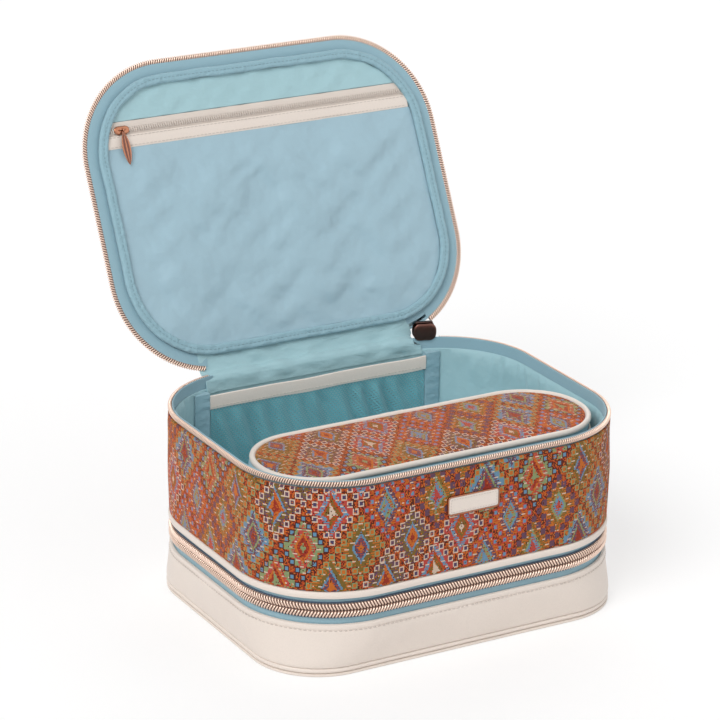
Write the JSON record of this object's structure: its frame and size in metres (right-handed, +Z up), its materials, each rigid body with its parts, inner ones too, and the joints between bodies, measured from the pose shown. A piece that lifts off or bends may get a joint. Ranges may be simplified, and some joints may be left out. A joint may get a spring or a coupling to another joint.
{
  "type": "makeup train case",
  "caption": "Soft two-tier makeup train case with a zip-round lid, a zipped lower compartment, a mesh pocket and a lift-out brush pouch.",
  "frame": {"origin": "centre of the case's footprint on the table", "axes": "+X to the right along the front, +Y to the back, where the lid is hinged, +Z up"},
  "size_m": [0.2717, 0.3136, 0.3232],
  "materials": {
    "cream_leather": "smooth faux leather with a fine grain",
    "tapestry": "jacquard weave of stepped diamonds in rust, blue, green and cream",
    "blue_lining": "satin lining cloth",
    "pocket_cloth": "satin lining cloth, a little greyer",
    "blue_binding": "ribbed binding tape",
    "blue_zip_tape": "woven zip tape",
    "cream_zip_tape": "woven zip tape with a nylon coil",
    "rose_teeth": "rose gold plated teeth",
    "rose_metal": "polished rose gold plating",
    "bronze_metal": "dark rose bronze plating",
    "teal_mesh": "knitted mesh",
    "grey_board": "stiffening board"
  },
  "bodies": {
    "base": {"base_bottom": "cream_leather", "base_board": "grey_board", "base_welt": "cream_leather", "base_wall": "cream_leather", "base_lining": "blue_lining", "base_zip_tape": "blue_zip_tape", "base_zip_teeth": "rose_teeth", "base_hinge_leaf": "blue_binding"},
    "base_slider": {"base_slider": "rose_metal"},
    "base_pull": {"base_pull": "rose_metal"},
    "upper_case": {"case_zip_teeth": "rose_teeth", "case_zip_tape": "blue_zip_tape", "case_piping": "cream_leather", "case_wall": "tapestry", "wall_stiffener": "grey_board", "case_lining": "blue_lining", "divider_board": "grey_board", "divider_lining": "blue_lining", "rim_zip_tape": "blue_zip_tape", "rim_zip_teeth": "rose_teeth", "case_hinge_leaf": "blue_binding", "rim_hinge_leaf": "blue_binding", "rim_slider": "bronze_metal", "mesh_pocket": "teal_mesh", "pocket_binding": "cream_leather", "pocket_tape_left": "blue_lining", "pocket_tape_right": "blue_lining", "badge_frame": "rose_metal", "badge_plate": "cream_leather"},
    "rim_pull": {"rim_pull": "bronze_metal"},
    "lid": {"lid_panel": "tapestry", "lid_piping": "cream_leather", "lid_zip_tape": "blue_zip_tape", "lid_zip_teeth": "rose_teeth", "lid_hinge_leaf": "blue_binding", "lid_binding": "blue_binding", "lid_lining": "blue_lining", "lid_pocket_panel": "pocket_cloth", "lid_pocket_trim": "cream_leather", "lid_pocket_zip": "cream_zip_tape", "handle": "cream_leather", "handle_tabs": "cream_leather", "handle_rivets": "rose_metal"},
    "pocket_slider": {"pocket_slider": "rose_metal"},
    "pocket_pull": {"pocket_pull": "rose_metal"},
    "pouch": {"pouch_floor": "tapestry", "pouch_foot_piping": "cream_leather", "pouch_wall": "blue_lining", "pouch_tape_lower": "blue_zip_tape", "pouch_teeth_lower": "rose_teeth"},
    "pouch_lid": {"pouch_tape_upper": "blue_zip_tape", "pouch_teeth_upper": "rose_teeth", "pouch_piping": "cream_leather", "pouch_lid_panel": "tapestry"},
    "pouch_slider": {"pouch_slider": "rose_metal"},
    "pouch_pull": {"pouch_pull": "rose_metal"}
  },
  "joints": [
    {"name": "case_tilt", "type": "hinge", "parent": "base", "child": "upper_case", "pos_m": [0, 0.107, 0.0444], "axis": [-1, 0, 0], "range_deg": [0, 75]},
    {"name": "lid_swing", "type": "hinge", "parent": "upper_case", "child": "lid", "pos_m": [0, 0.107, 0.1318], "axis": [-1, 0, 0], "range_deg": [-117, 75]},
    {"name": "pocket_slide", "type": "slide", "parent": "lid", "child": "pocket_slider", "axis": [1, 0, 0], "range_m": [0, 0.2]},
    {"name": "pocket_pull_swing", "type": "hinge", "parent": "pocket_slider", "child": "pocket_pull", "pos_m": [-0.103, 0.18063, 0.28402], "axis": [-1, 0, 0], "range_deg": [0, 150]},
    {"name": "rim_pull_swing", "type": "hinge", "parent": "upper_case", "child": "rim_pull", "pos_m": [0.08737, 0.10587, 0.134], "axis": [-0.9554, 0.2955, 0], "range_deg": [-90, 0]},
    {"name": "base_slide", "type": "slide", "parent": "base", "child": "base_slider", "axis": [0, -1, 0], "range_m": [0, 0.06]},
    {"name": "base_pull_swing", "type": "hinge", "parent": "base_slider", "child": "base_pull", "pos_m": [0.13595, 0.028, 0.0444], "axis": [0, -1, 0], "range_deg": [0, 90]},
    {"name": "pouch_lift", "type": "slide", "parent": "upper_case", "child": "pouch", "axis": [0, 0, 1], "range_m": [0, 0.15]},
    {"name": "pouch_lid_swing", "type": "hinge", "parent": "pouch", "child": "pouch_lid", "pos_m": [0.0005, -0.0015, 0.1145], "axis": [-1, 0, 0], "range_deg": [0, 100]},
    {"name": "pouch_slide", "type": "slide", "parent": "pouch", "child": "pouch_slider", "axis": [-1, 0, 0], "range_m": [0, 0.12]},
    {"name": "pouch_pull_swing", "type": "hinge", "parent": "pouch_slider", "child": "pouch_pull", "pos_m": [0.0605, -0.08745, 0.1145], "axis": [-1, 0, 0], "range_deg": [0, 30]}
  ]
}
